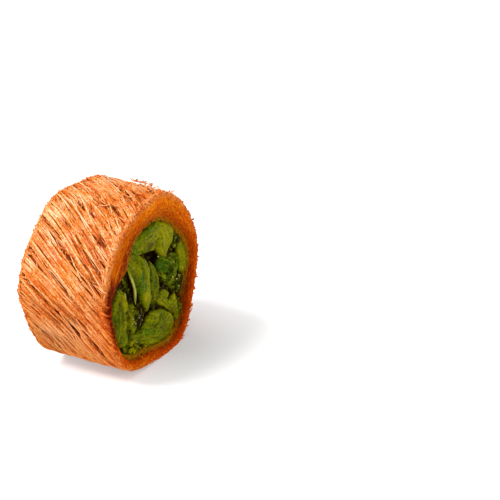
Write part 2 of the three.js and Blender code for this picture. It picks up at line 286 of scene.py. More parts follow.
# Baked pastry: paler and browner strands, patches, painted shade that darkens it to a deep red-brown in the
# depths and to the darkest colour in the deepest, and a warmer one where syrup has soaked in
def makePastryGroup():
    tree, given = newGroup("bakedPastry", {
        "Place": None, "Tone": 0.5, "Depth": 0.0, "Soaked": 0.0, "Stained": 0.0,
        "Pale": paint(250, 190, 142), "Golden": paint(228, 138, 60), "Browned": paint(194, 86, 8),
        "ShadeColor": paint(150, 52, 0), "DarkestShade": paint(70, 20, 6),
        "Syrupy": paint(254, 192, 22), "Stain": paint(176, 124, 8),
    })
    patches = noiseNode(given["Place"], 260.0)
    specks = noiseNode(given["Place"], 2300.0)
    small = mathNode("MULTIPLY_ADD", specks, 2.2, -1.1)
    tone = mathNode("ADD", given["Tone"], mathNode("MULTIPLY_ADD", patches, 0.8, -0.4))
    tone = mathNode("ADD", tone, small)
    depth = mathNode("ADD", given["Depth"], mathNode("MULTIPLY", small, 0.25), clamp=True)
    color = mixColors(rangeNode(tone, 0.0, 0.5), given["Browned"], given["Golden"])
    color = mixColors(rangeNode(tone, 0.5, 1.0), color, given["Pale"])
    # painted shade: darker the deeper it lies, and darkest in the deepest places
    color = mixColors(depth, color, given["ShadeColor"])
    color = mixColors(rangeNode(given["Depth"], 0.80, 1.05), color, given["DarkestShade"])
    color = mixColors(given["Soaked"], color, mixColors(1.0, color, given["Syrupy"], blend="MULTIPLY"))
    color = mixColors(given["Stained"], color, given["Stain"])
    # the depths and the soaked parts have no gloss
    dull = mathNode("ADD", depth, mathNode("MULTIPLY", given["Soaked"], 0.8), clamp=True)
    gloss = rangeNode(patches, 0.40, 0.70, 0.1, 0.8)
    return endGroup(
        tree, Color=color, Roughness=rangeNode(specks, 0.25, 0.75, 0.58, 0.40),
        Syrup=mathNode("MULTIPLY", gloss, mathNode("MULTIPLY_ADD", dull, -1.0, 1.0)),
        Height=mathNode("ADD", specks, mathNode("MULTIPLY", patches, 0.3)))


# Peeled pistachio: deep to yellow green, pale skin whose colour also paints glints, paler where the fine
# bumps rise (a painted highlight), darker where they dip and in creases and gaps (painted shade), and brown
# marks
def makeNutGroup():
    tree, given = newGroup("pistachioFlesh", {
        "Place": None, "Ripe": 0.5, "ShadeAndBrown": 0.0,
        "Green": paint(51, 82, 1), "Yellow": paint(137, 132, 1),
        "Skin": paint(200, 200, 110), "Dark": paint(30, 12, 2),
    })
    patches = noiseNode(given["Place"], 330.0, 3.0)
    fine = noiseNode(given["Place"], 1900.0, 3.0, 0.6)
    ripe = mathNode("ADD", given["Ripe"], mathNode("MULTIPLY_ADD", patches, 1.1, -0.55))
    # painted highlight: yellower and paler where the fine bumps rise
    ripe = mathNode("ADD", ripe, mathNode("MULTIPLY_ADD", fine, 1.9, -0.95), clamp=True)
    color = mixColors(ripe, given["Green"], given["Yellow"])
    color = mixColors(rangeNode(given["Ripe"], 1.3, 2.0), color, given["Skin"])
    # painted shade where the fine bumps dip, on top of the shade and brown marks that the kernels carry
    dark = mathNode("ADD", given["ShadeAndBrown"], rangeNode(fine, 0.42, 0.28, 0.0, 0.6), clamp=True)
    return endGroup(
        tree, Color=mixColors(dark, color, given["Dark"]), Height=fine,
        Roughness=rangeNode(fine, 0.3, 0.7, 0.5, 0.3), Syrup=rangeNode(fine, 0.61, 0.68))


# A material of a group with some of its colours changed; the other inputs come from attributes
def newMaterial(name, group, colors, attributes, bump, look):
    material = bpy.data.materials.new(name)
    material.use_nodes = True
    tree = material.node_tree
    tree.nodes.clear()
    inputs = {"Place": addNode(tree, "ShaderNodeTexCoord").outputs["Object"], **colors}
    for socket, attribute in attributes.items():
        inputs[socket] = addNode(tree, "ShaderNodeAttribute", attribute_name=attribute).outputs["Fac"]
    finish = addNode(tree, "ShaderNodeGroup", inputs, node_tree=group).outputs
    bumpy = addNode(tree, "ShaderNodeBump", {"Height": finish["Height"], **bump})
    shader = addNode(tree, "ShaderNodeBsdfPrincipled", {
        "Base Color": finish["Color"],
        "Roughness": finish["Roughness"],
        "Coat Weight": finish["Syrup"],
        "Normal": bumpy.outputs["Normal"],
        "IOR": 1.45,
        **look,
    })
    addNode(tree, "ShaderNodeOutputMaterial", {"Surface": shader.outputs[0]})
    return material


pastryGroup = makePastryGroup()
pastryBump = {"Strength": 0.6, "Distance": 0.00006}
pastryLook = {
    "Coat Roughness": 0.22, "Specular IOR Level": 0.10, "Subsurface Weight": 0.25,
    "Subsurface Radius": (1.0, 0.40, 0.12), "Subsurface Scale": 0.0010,
}
nutLook = {
    "Coat Roughness": 0.15, "Specular IOR Level": 0.02, "Subsurface Weight": 0.15,
    "Subsurface Radius": (0.6, 1.0, 0.1), "Subsurface Scale": 0.0008,
}
# the depth attribute of each pastry piece carries its painted shade
baked = {"Tone": "tone", "Depth": "deep", "Soaked": "soaked"}
pastryFinish = newMaterial(
    "baked_pastry_finish", pastryGroup, {"ShadeColor": paint(172, 72, 4)}, baked, pastryBump, pastryLook)
faceFinish = newMaterial(
    "cut_pastry_finish", pastryGroup, {"ShadeColor": paint(142, 49, 0)}, {**baked, "Stained": "stained"},
    pastryBump, {**pastryLook, "Specular IOR Level": 0.02})
nutFinish = newMaterial(
    "pistachio_finish", makeNutGroup(), {}, {"Ripe": "ripe", "ShadeAndBrown": "crease"},
    {"Strength": 0.8, "Distance": 0.00010}, nutLook)
print("finishes made")


def addObject(name, data):
    added = bpy.data.objects.new(name, data)
    bpy.context.scene.collection.objects.link(added)
    return added


def newPiece(name, points, faces, material, smooth=True):
    mesh = bpy.data.meshes.new(name)
    mesh.from_pydata(points.reshape(-1, 3).tolist(), [], faces)
    mesh.update()
    piece = addObject(name, mesh)
    finishPiece(piece, material, smooth)
    return piece


def finishPiece(piece, material, smooth=True):
    mesh = piece.data
    mesh.materials.clear()
    mesh.materials.append(material)
    mesh.polygons.foreach_set("use_smooth", [smooth] * len(mesh.polygons))
    mesh.update()
    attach(piece, "root")


# Values for each point, or for each ring of the tubes
def setPointValues(piece, **attributes):
    for name, values in attributes.items():
        values = np.asarray(values, dtype=np.float32).ravel()
        attribute = piece.data.attributes.new(name, "FLOAT", "POINT")
        attribute.data.foreach_set("value", np.repeat(values, len(piece.data.vertices) // len(values)))


def pointsOf(mesh):
    co = np.zeros(len(mesh.vertices) * 3)
    mesh.vertices.foreach_get("co", co)
    return co.reshape(-1, 3)


# Puts the points of the piece just added in their places, and turns its faces outwards
def reshape(piece, points):
    piece.data.vertices.foreach_set("co", points.ravel())
    bpy.ops.object.mode_set(mode="EDIT")
    bpy.ops.mesh.select_all(action="SELECT")
    bpy.ops.mesh.normals_make_consistent(inside=False)
    bpy.ops.object.mode_set(mode="OBJECT")


# Many tubes in one mesh. points is (tubes, rings, 3); up points away from the roll.
def tubeMesh(name, points, up, widths, heights, sides, material):
    tubes, rings = points.shape[:2]
    along = np.gradient(points, axis=1)
    along /= np.linalg.norm(along, axis=2, keepdims=True) + 1e-12
    up = up - along * np.sum(up * along, axis=2, keepdims=True)
    up /= np.linalg.norm(up, axis=2, keepdims=True) + 1e-12
    across = np.cross(along, up)
    turn = 2 * np.pi * np.arange(sides) / sides
    ring = (across[:, :, None] * np.cos(turn)[:, None] * widths[:, :, None, None] / 2
            + up[:, :, None] * np.sin(turn)[:, None] * heights[:, :, None, None] / 2)
    verts = points[:, :, None] + ring
    verts[..., 2] = np.maximum(verts[..., 2], 0)
    index = np.arange(tubes * rings * sides).reshape(tubes, rings, sides)
    nextSide = np.roll(index, -1, axis=2)
    quads = np.stack([index[:, :-1], nextSide[:, :-1], nextSide[:, 1:], index[:, 1:]], axis=-1)
    faces = quads.reshape(-1, 4).tolist()
    faces += index[:, 0, ::-1].tolist()
    faces += index[:, -1, :].tolist()
    piece = newPiece(name, verts, faces, material)
    addTubeMap(piece, tubes, rings, sides)
    return piece


# Lays each tube out in a cell of its own, for the bake
def addTubeMap(piece, tubes, rings, sides):
    columns = max(1, int(round(math.sqrt(tubes / 5.0))))
    rows = math.ceil(tubes / columns)
    cell = np.arange(tubes)
    left = (cell % columns) / columns
    foot = (cell // columns) / rows
    wide, high = 1 / columns, 1 / rows
    i = np.arange(rings - 1)[None, :, None]
    j = np.arange(sides)[None, None, :]

    def corner(di, dj):
        u = left[:, None, None] + wide * (0.06 + 0.88 * (i + di) / (rings - 1)) + 0 * j
        v = foot[:, None, None] + high * (0.08 + 0.84 * (j + dj) / sides) + 0 * i
        return np.stack([u, v], axis=-1)

    quads = np.stack([corner(0, 0), corner(0, 1), corner(1, 1), corner(1, 0)], axis=3).reshape(-1, 2)
    turn = 2 * np.pi * np.arange(sides) / sides

    def capMap(side):
        u = left[:, None] + wide * (side + 0.02 * np.cos(turn)[None, :])
        v = foot[:, None] + high * (0.5 + 0.35 * np.sin(turn)[None, :])
        return np.stack([u, v], axis=-1).reshape(-1, 2)

    layer = piece.data.uv_layers.new(name="OFBake")
    uv = np.concatenate([quads, capMap(0.03), capMap(0.97)])
    layer.data.foreach_set("uv", uv.astype(np.float32).ravel())


# The wall of pastry under the loose strands
wall = {
    "round": 620, "sideRows": 50, "faceRows": 40, "innerRows": 8,
    "torus": (0.017, 0.003),
    "underStrands": 0.80,  # how far below the outside the wall lies
    "underFibres": 0.12,   # and below the cut face
    "ridges": 0.30, "ridgeWidth": 0.52,
    "grain": 0.12, "grainRadius": 19,
    "grains": [(0.42, 1.6, 1.0, 11), (0.35, 0.5, 0.7, 12)],  # width, length, strength and seed of each
}


# The wall's section as rows of (part, place along or reach over the face)
def wallSection():
    start = halfLength - roll["shoulderAlong"]
    deepest = halfLength - roll["lipDrop"] - roll["lipRounding"]
    rows = [("side", x) for x in np.linspace(-start, start, wall["sideRows"])]
    rows += [("shown", reach) for reach in np.linspace(0, 1, wall["faceRows"] + 1)[1:]]
    rows += [("inner", x) for x in np.linspace(deepest, -deepest, wall["innerRows"] + 2)[1:-1]]
    rows += [("far", reach) for reach in np.linspace(1, 0, wall["faceRows"] + 1)[:-1]]
    return rows


def makeWall():
    rows = wallSection()
    major, minor = wall["torus"]
    bpy.ops.mesh.primitive_torus_add(
        major_segments=wall["round"], minor_segments=len(rows),
        major_radius=major, minor_radius=minor, generate_uvs=True)
    piece = bpy.context.object
    piece.name = "pastry_wall"
    co = pointsOf(piece.data)
    angle = np.arctan2(co[:, 1], co[:, 0])
    small = np.arctan2(co[:, 2], np.hypot(co[:, 0], co[:, 1]) - major)
    row = np.round(small / (2 * np.pi) * len(rows)).astype(int) % len(rows)
    part, value = (np.array(column)[row] for column in zip(*rows))
    # the side, with ridges that run as its strands do
    middle = followWind(angle, np.where(part == "side", value, 0), 0)
    lane = middle * farEnd["radius"] / wall["ridgeWidth"]
    ridges = softNoise(lane, value / 3.5, 0.0, 3) + 0.5 * softNoise(lane * 2.1, value / 1.8, 4.0, 5) - 0.75
    outside = outsideRadius(angle, value / roll["length"] + 0.5)
    radius = outside - wall["underStrands"] + wall["ridges"] * ridges
    x = value.copy()
    # painted shade: the side of the wall, seen only in the gaps between the strands, is shaded almost to the
    # darkest
    tone, deep, soaked, stained = (np.full(len(x), least) for least in (0.4, 0.95, 0.3, 0.0))
    # the opening
    radius = np.where(part == "inner", openingRadius(angle), radius)
    # the cut faces, with grain that runs round them
    for name, side in (("shown", 1), ("far", -1)):
        on = part == name
        around, reach = angle[on], value[on]
        faceRadius, faceX, outwards, along = facePlace(around, reach, side)
        grain = 0
        for width, length, strength, seed in wall["grains"]:
            run = around * wall["grainRadius"] / length
            grain = grain + strength * (softNoise(faceRadius / width, run, side * 3, seed) - 0.5)
        sunk = blendTo(wall["underStrands"], wall["underFibres"], np.clip(reach * 7, 0, 1))
        sunk = sunk + wall["grain"] * grain
        radius[on] = faceRadius - outwards * sunk
        x[on] = side * (faceX - along * sunk)
        tone[on] = faceShadedTone(around)
        deep[on] = faceShade(around, reach, side) + 0.12 - 0.2 * grain
        soaked[on] = faceSoaked(reach)
        stained[on] = faceStain(around, reach, side)
    reshape(piece, placeOnRoll(radius, angle, x, above=0.05))
    piece.data.uv_layers[0].name = "OFBake"
    finishPiece(piece, faceFinish)
    setPointValues(piece, tone=tone, deep=np.clip(deep, 0, 1), soaked=soaked, stained=stained)
    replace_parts(piece, "pastry_roll")
    bpy.ops.object.select_all(action="DESELECT")


# Painted shade on the cut face: darker towards the filling, sooner at its upper left, darker at its right and
# low, and darkest in the sticky hollow and along the seam below it, from dark syrup together with painted
# shade
def faceShade(angle, reach, side):
    early = near(angle, 138, 38) * (side > 0)
    darker = ramp(reach, 0.40 - 0.37 * early, 0.52 + 0.10 * early) ** (1.25 - 0.25 * early)
    right = near(angle, -32, 24) * ramp(reach, 0.55, 0.3) * (side > 0)
    edge = 0.16 - 0.012 * np.clip(degreesFrom(angle, 160), 0, 16)
    hollow = near(angle, 168, 18, 4) * ramp(reach, edge, 0.14)
    seam = near(angle, -172, 22, 4) * ramp(reach, 0.03, 0.14)
    syrupAndShade = np.maximum(hollow, seam) * (side > 0)
    return np.maximum(0.08 + 0.78 * darker + 0.14 * right + 0.17 * near(angle, -70, 75), 0.96 * syrupAndShade)


def faceSoaked(reach):
    return np.clip(0.30 + 2.2 * reach, 0, 1)


# It is olive where it touches the nuts, least in the hollow and at the lower right
def faceStain(angle, reach, side):
    clean = np.maximum(stickyHollow(angle, side), 0.8 * near(angle, -40, 18) * (side > 0))
    return 0.75 * ramp(reach, 0.74, 0.26) ** 1.3 * (1 - clean)


# Painted shade: the face is darker and browner at the side away from the light and low
def faceShadedTone(angle):
    return 0.78 - 0.64 * near(angle, -25, 75) - 0.60 * near(angle, -155, 26) - 0.28 * near(angle, -90, 40)


makeWall()
print("wall made")


# Strands wound round the roll
strands = {
    "under": 270, "bundles": 46, "loose": 290, "frayed": 45, "ends": 600,  # how many, beside the wound ones
    "tube": (16, 6), "underTube": (14, 5), "endTube": (5, 5),  # rings, and sides of each ring
    "steps": 60,
    "width": (0.50, 0.90),
    "apart": (1.0, 1.26),  # from one wound strand to the next, in widths
    "flatness": 0.75,
    "flankShade": 0.50,         # how much darker and browner a strand is at its sides: browner baked edges and painted shade where it meets the next
    "depths": (0.68, 0.36, 0.20, 0.08),  # how far the middle of each layer lies below the outside
    "tone": (0.56, 0.20),
    "tuft": ((57, 69), (0.0, 4.0)),       # where most of the frayed ones are: degrees, place along
    "frayedOver": ((55, 112), (0.5, 10.0)),
    "raggedest": (-10, 75),               # where the ends stick out furthest: degrees, half width
}

# Narrow gaps between strands and small holes: angle, place along, length, width, depth
gaps = [
    (148, 0.5, 0.9, 0.45, 1.1), (162, 7.8, 2.4, 0.36, 0.9), (134, 6.6, 2.2, 0.34, 0.9),
    (-169, -2.6, 2.0, 0.36, 0.8), (113, -2.6, 2.0, 0.42, 1.0), (118, 1.4, 1.6, 0.40, 0.8),
    (-161, 4.6, 1.8, 0.34, 0.8), (106, 1.8, 1.1, 0.80, 0.7), (161, -2.0, 1.5, 0.42, 0.7),
    (176, -4.2, 1.7, 0.32, 0.7), (-155, 5.3, 1.2, 0.32, 0.8), (103, 3.6, 0.7, 0.6, 0.5),
    (140, 1.6, 2.0, 0.30, 0.7), (150, 4.6, 2.2, 0.30, 0.7), (127, -3.4, 1.8, 0.32, 0.7),
]
# and the ranges of the others
otherGaps = {"count": 40, "range": ((-180, 180), (-9, 9), (0.7, 2.4), (0.22, 0.34), (0.3, 0.8))}
gapDraw = random.Random(77)
for _ in range(otherGaps["count"]):
    gaps.append(tuple(gapDraw.uniform(*ends) for ends in otherGaps["range"]))


def gapDepth(angle, x):
    deepest = 0 * x
    for at, along, length, width, depth in gaps:
        course = math.atan(windSlope(math.radians(at), along))
        aside = np.radians(degreesFrom(angle, at)) * farEnd["radius"]
        run = (x - along) * math.cos(course) + aside * math.sin(course)
        off = aside * math.cos(course) - (x - along) * math.sin(course)
        deepest = np.maximum(deepest, depth * np.exp(-(run / length) ** 4 - (off / width) ** 4))
    return deepest


# The places that strands run through, both ways from their middles
def traceStrands(values):
    ways = []
    for way in (1, -1):
        angle, x = values["angle"], values["x"]
        rows = [(angle, x)]
        step = way * values["reach"] / strands["steps"]
        for i in range(strands["steps"]):
            bend = values["bend"] * np.sin(values["phase"] + step * (i + 0.5) / values["wave"])
            course = np.arctan(windSlope(angle, x)) + np.radians(values["lean"] + bend)
            x = x + np.cos(course) * step
            angle = angle + np.sin(course) * step / farEnd["radius"]
            rows.append((angle, x))
        ways.append(np.array(rows))
    return np.concatenate([ways[1][::-1], ways[0][1:]])


# Cuts each path at the roll's faces, and spreads its points evenly: angle, place along, way run,
# and how near each free end is
def trimPaths(dense, overs, rings):
    middle = len(dense) // 2
    out = np.zeros((len(overs), rings, 4))
    for k, over in enumerate(overs):
        beyond = np.flatnonzero(np.abs(dense[:, 1, k]) > halfLength + over)
        first = beyond[beyond < middle].max(initial=-1) + 1
        last = beyond[beyond > middle].min(initial=len(dense))
        angle, x = dense[first:last, :, k].T
        steps = np.hypot(np.diff(x), np.diff(angle) * farEnd["radius"])
        run = np.concatenate([[0], np.cumsum(steps)])
        at = np.linspace(0, run[-1], rings)
        free = np.full(rings, 99.0)
        if first == 0:
            free = np.minimum(free, at)
        if last == len(dense):
            free = np.minimum(free, run[-1] - at)
        out[k] = np.stack([np.interp(at, run, angle), np.interp(at, run, x), at, free], axis=-1)
    return out


# How much paler or darker parts of the side are, and how much more syrup they hold: angle and place along of
# each part, its half widths, how much paler its strands are and how much more syrup they hold
sideParts = [
    # painted light: the lower side is paler where the floor lights it
    (-125, 0, 45, 60, 0.27, 0.0),
    (95, 0, 35, 60, -0.09, -0.09),
    (118, -5.5, 14, 5, 0.18, -0.05),
    (112, 3.0, 9, 6, -0.16, 0.0),
    (144, 1.5, 15, 11, -0.17, 0.03),
    (134, -1.3, 8, 4, -0.24, 0.0),
    (143, -10.0, 14, 3, -0.22, 0.0),
    (164, -6.8, 5, 3, -0.18, 0.0),
    (149, -4.2, 6, 3, -0.18, 0.0),
    (152, -9.0, 16, 3, 0.25, -0.05),
    (179, 0.0, 13, 16, -0.16, 0.30),
    (175, -5.3, 4, 1.8, 0.26, -0.15),
    (170, -4.0, 5, 2, -0.14, 0.0),
    (-166, -4.4, 6, 3, -0.22, 0.0),
    # painted light: the lower side at the far end is paler where the floor lights it
    (-153, -6.5, 12, 6, 0.62, 0.0),
    (-162, 10.8, 18, 3, -0.30, 0.50),
]


# How much paler (0) or how much more syrup (1) all parts together make a place
def sidePart(angle, x, which):
    total = 0
    for at, along, halfRound, halfAlong, *gains in sideParts:
        total = total + gains[which] * near(angle, at, halfRound) * hump(x, along, halfAlong)
    return total


# Syrup has run down the side and gathered low and at the far end
def sideSoaked(angle, x):
    far = ramp(-x / roll["length"], 0.28, 0.22)
    return 0.09 + 0.76 * near(angle, -115, 50) + 0.34 * far + sidePart(angle, x, 1)


# A browner, matted patch near the shown rim on top
def mattedPatch(angle, x):
    return near(angle, 94, 15, 4) * hump(x, 7.0, 5.5, 4)


def sideTone(angle, x):
    return sidePart(angle, x, 0) - 0.20 * mattedPatch(angle, x)


def layStrands(name, items, tube=strands["tube"]):
    rings, sides = tube
    items = [item for item in items if abs(item["x"]) < halfLength - 0.3]
    values = {key: np.array([item[key] for item in items], dtype=float) for key in items[0]}
    angle, x, run, free = np.moveaxis(trimPaths(traceStrands(values), values["over"], rings), 2, 0)
    column = {key: value[:, None] for key, value in values.items()}
    phase = column["phase"]
    share = np.clip(x / roll["length"] + 0.5, 0, 1)
    weave = softNoise(run / 3.2 + 50 * phase, phase * 9, 0.0, 21) - 0.5
    middle = run.mean(axis=1, keepdims=True)
    below = column["below"] - 2 * column["weave"] * weave - column["arch"] * hump(run, middle, 3.0)
    below = below + 0.45 * hump(free, 0, 0.9) * column["tuck"] + gapDepth(angle, x) * column["sinks"]
    bent = shoulderBend(angle, x) * (1 - column["stiff"])
    radius = outsideRadius(angle, share) - below - bent
    wide = column["width"] * (1 + 0.18 * (softNoise(run / 1.6, phase * 31, 0.0, 22) - 0.5))
    wide = wide * np.clip(0.35 + free / 0.8, 0, 1)
    high = wide * strands["flatness"]
    points = placeOnRoll(radius, angle, x, above=0.5 * wide)
    up = np.stack([0 * angle, np.cos(angle), np.sin(angle)], axis=-1)
    piece = tubeMesh(name, points, up, wide * mm, high * mm, sides, pastryFinish)
    # painted shade, with dark syrup, where they reach the sticky hollow and the seam below it
    syrupAndShade = near(angle, 174, 11, 4) * ramp(x, 9.3, 0.6)
    seam = near(angle, -172, 20, 4) * ramp(x, 10.1, 0.4)
    blotches = 0.36 * (softNoise(run / 1.8, phase * 17, 0.0, 23) - 0.5)
    tone = column["tone"] + blotches + sideTone(angle, x) - 0.5 * seam
    # painted shade: strands that lie deeper under the outside are darker
    deep = np.clip((below - 0.20) * 1.7 + np.maximum(0.6 * syrupAndShade, 0.95 * seam), 0, 0.95)
    soaked = np.clip(sideSoaked(angle, x) + 0.5 * bent, 0, 0.8)
    # painted shade at the sides of each strand, with browner baked edges
    flankShade = strands["flankShade"] * np.clip(1 - np.sin(2 * np.pi * np.arange(sides) / sides) / 0.8, 0, 1)
    setPointValues(piece, tone=tone, deep=np.clip(deep[:, :, None] + flankShade, 0, 0.97), soaked=soaked)


# Places that cover the side evenly: an angle and a place along
even = (0.6180339887, 0.7548776662)


def evenPlace(i, start):
    return 2 * math.pi * ((i * even[0] + start) % 1), roll["length"] * (((i * even[1] + start) % 1) - 0.5)


def newStrand(rng, angle, x, **values):
    return {
        "angle": angle, "x": x, "reach": 30.0, "lean": 0.0, "bend": rng.uniform(2, 6),
        "phase": rng.uniform(0, 6.28), "wave": rng.uniform(2.5, 6.0), "over": rng.uniform(-0.5, 0.0),
        "below": 0.3, "weave": 0.10, "arch": 0.0, "tuck": 1.0, "stiff": 0.0, "sinks": 1.0,
        "width": rng.uniform(*strands["width"]), "tone": rng.uniform(0.3, 0.75), **values,
    }


def makeStrands():
    rng = random.Random(12)
    pick, bell = rng.uniform, rng.gauss
    depths = strands["depths"]
    layStrands("strands_under", [newStrand(
        rng, *evenPlace(i, 0.13), lean=bell(0, 5), reach=pick(12, 28), below=depths[0] + pick(-0.06, 0.06),
        over=pick(-1.5, -0.9)) for i in range(strands["under"])], strands["underTube"])
    # strand beside strand right round; some stop short and another takes over
    wound = []
    angle = 0.0
    while angle < 2 * math.pi:
        width = pick(*strands["width"])
        course = math.atan(windSlope(angle, 0.0))
        angle += width * pick(*strands["apart"]) / math.cos(course) / farEnd["radius"]
        drift = float(softNoise(angle * 7, 0, 0, 31)) - 0.5
        whole = dict(over=pick(-0.8, -0.15), bend=1.6, wave=5.0, width=width, phase=6 * angle,
                     lean=bell(2.5, 0.8) + 2 * drift, below=depths[1] + bell(0, 0.06) + 0.10 * drift,
                     tone=bell(*strands["tone"]), weave=0.05)
        if rng.random() < 0.5:
            wound.append(newStrand(rng, angle, 0.0, **whole))
            continue
        split = pick(-8, 8)
        for x, reach in ((-10, split + 10), (10, 10 - split)):
            part = {**whole, "reach": 1.5 * reach, "tone": bell(*strands["tone"])}
            wound.append(newStrand(rng, followWind(angle, 0, x), x, **part))
    layStrands("strands_wound", wound)
    bundled = []
    for i in range(strands["bundles"]):
        angle, x = evenPlace(i, 0.41)
        course = math.atan(windSlope(angle, x))
        lean = bell(2.5, 4.0)
        reach = pick(4, 17)
        below = depths[2] + pick(-0.08, 0.08)
        phase = pick(0, 6.28)
        offset = 0.0
        for k in range(rng.randint(2, 5)):
            width = 0.8 * pick(*strands["width"])
            offset += width * pick(1.0, 1.3)
            bundled.append(newStrand(
                rng, angle + offset * math.cos(course) / farEnd["radius"], x - offset * math.sin(course),
                lean=lean + bell(0, 1.2), reach=reach * pick(0.75, 1.15), phase=phase + 0.08 * k,
                wave=4.0, bend=3.0, below=below + bell(0, 0.05), width=width, tone=bell(*strands["tone"])))
    layStrands("strands_bundled", bundled)
    loose = [newStrand(
        rng, *evenPlace(i, 0.77), lean=bell(2.5, 4.5), reach=pick(2.0, 9.0),
        below=depths[3] + pick(-0.06, 0.08), width=pick(0.18, 0.38), arch=max(0.0, bell(0.03, 0.07)),
        tone=pick(0.45, 1.15), sinks=0.4) for i in range(strands["loose"])]
    # frayed ones whose ends stand up on top near the cut, some of them in a tuft
    for i in range(strands["frayed"]):
        tuft = i % 3 == 0
        around, along = strands["tuft" if tuft else "frayedOver"]
        loose.append(newStrand(
            rng, math.radians(pick(*around)), pick(*along), lean=bell(0, 28), reach=pick(0.8, 2.4),
            below=pick(-0.05, 0.2), width=pick(0.22, 0.40), arch=pick(0.0, 0.5) + 0.35 * tuft,
            tuck=pick(-1.6, -0.2), tone=pick(0.4, 0.9), sinks=0))
    layStrands("strands_loose", loose)
    # ends that stick out round both rims, further on the side away from the light
    ends = []
    for i in range(strands["ends"]):
        angle, _ = evenPlace(i, 0.57)
        side = 1 if i % 3 else -1
        ragged = near(angle, *strands["raggedest"], 4)
        ends.append(newStrand(
            rng, angle, side * (halfLength - pick(0.5, 1.4)), lean=bell(0, 18),
            reach=pick(0.7, 2.0), width=pick(0.26, 0.50), below=pick(-0.05, 0.35),
            stiff=pick(0.4, 0.7 + 0.3 * ragged), over=pick(-0.3, 0.05 + 0.5 * ragged),
            tuck=0.2, sinks=0, tone=pick(0.2, 0.65)))
    layStrands("strand_ends", ends, strands["endTube"])


makeStrands()
print("strands made")


# Short fibres that mat the surface
fibres = {"count": 3500, "length": (0.9, 4.0), "width": (0.13, 0.27), "tube": (6, 4)}


def makeFibres():
    rng = random.Random(31)
    pick, bell = rng.uniform, rng.gauss
    items = []
    for i in range(fibres["count"]):
        angle, x = evenPlace(i, 0.29)
        angle += pick(-0.1, 0.1)
        # more of them near the top, where they lie every way, in front, and in patches
        top = near(angle, 92, 34)
        matted = mattedPatch(angle, x)
        patch = max(0, float(softNoise(angle * 3.5, x / 6, 0, 55)) - 0.5)
        if rng.random() > 0.66 * (0.24 + 0.5 * top + matted + 1.2 * patch) + 0.42 * near(angle, 158, 58, 4):
            continue
        items.append(newStrand(
            rng, angle, x + pick(-0.8, 0.8), lean=bell(0, 16 + 14 * top + 40 * matted),
            reach=pick(*fibres["length"]) / 2 * (1 - 0.4 * matted), sinks=0.5,
            width=pick(*fibres["width"]), below=pick(-0.03, 0.22), weave=0.08, tuck=0.4,
            arch=max(0.0, bell(0.0, 0.08)), bend=pick(3, 12), wave=pick(1.2, 2.5), tone=pick(0.25, 0.95)))
    layStrands("short_fibres", items, fibres["tube"])


makeFibres()
print("fibres made")


# Fibres on the cut faces, which run round them
faceFibres = {
    "count": 2700, "length": (0.6, 2.8), "width": (0.24, 0.44), "rings": 5, "sides": 5, "flatness": 0.8,
    "course": (0.10, 0.42),  # mean and spread of how far each turns inwards
}


def makeFaceFibres(name, side, seed):
    rng = random.Random(seed)
    pick, bell = rng.uniform, rng.gauss
    count = faceFibres["count"]
    spread = np.linspace(-0.5, 0.5, faceFibres["rings"])[None, :]

    def draws(draw, *ends):
        return np.array([draw(*ends) for _ in range(count)])[:, None]

    start = np.array([evenPlace(i, 0.0)[0] for i in range(count)])[:, None] + draws(pick, -0.02, 0.02)
    reach = draws(pick, 0.04, 1.0) ** 0.9
    thickness = outsideRadius(start, 0.5 + 0.5 * side) - openingRadius(start)
    length = draws(pick, *faceFibres["length"]) * np.clip(0.35 + thickness / 6, 0.5, 1)
    course = draws(bell, *faceFibres["course"])
    curl = draws(bell, 0, 0.5)
    run = spread * length
    bend = run * np.tan(np.clip(course, -1.2, 1.2)) + curl * (spread ** 2) * length
    over = np.clip(reach + bend / (thickness * 1.25), 0.02, 1.0)
    angle = start - side * run / (openingRadius(start) + 2)
    radius, x, outwards, along = facePlace(angle, over, side)
    sunk = draws(pick, 0.02, 0.14) + 0.15 * (2 * spread) ** 4
    width = draws(pick, *faceFibres["width"]) * np.clip(1.25 - (2 * np.abs(spread)) ** 3, 0.4, 1)
    up = np.stack([side * along, outwards * np.cos(angle), outwards * np.sin(angle)], axis=-1)
    points = placeOnRoll(radius - outwards * sunk, angle, side * (x - along * sunk), above=0.4 * width)
    high = width * mm * faceFibres["flatness"]
    piece = tubeMesh(name, points, up, width * mm, high, faceFibres["sides"], faceFinish)
    # painted shade as on the face under them, and more for fibres sunk deeper
    tone = faceShadedTone(angle) + draws(bell, 0, 0.15)
    deep = np.clip(faceShade(angle, over, side) + draws(bell, 0, 0.09) + 0.5 * sunk, 0, 1)
    setPointValues(piece, tone=tone, deep=deep, soaked=faceSoaked(over), stained=faceStain(angle, over, side))


makeFaceFibres("cut_fibres_shown", 1, 5)
makeFaceFibres("cut_fibres_far", -1, 6)
print("cut faces made")


# The filling's core, under the kernels
core = {
    "around": 180, "rows": 130, "drop": 3.0, "rough": 0.9, "lump": 1.6, "crumb": 0.5,
    "side": 0.08,  # the share of the rows that the side gets, each way
    "holes": [  # y, z, size, depth
        (3.6, 4.5, 2.3, 2.2), (-3.2, -10.0, 1.6, 1.8), (-6.7, -1.6, 1.6, 1.6), (-8.4, 5.0, 1.4, 1.2),
    ],
}
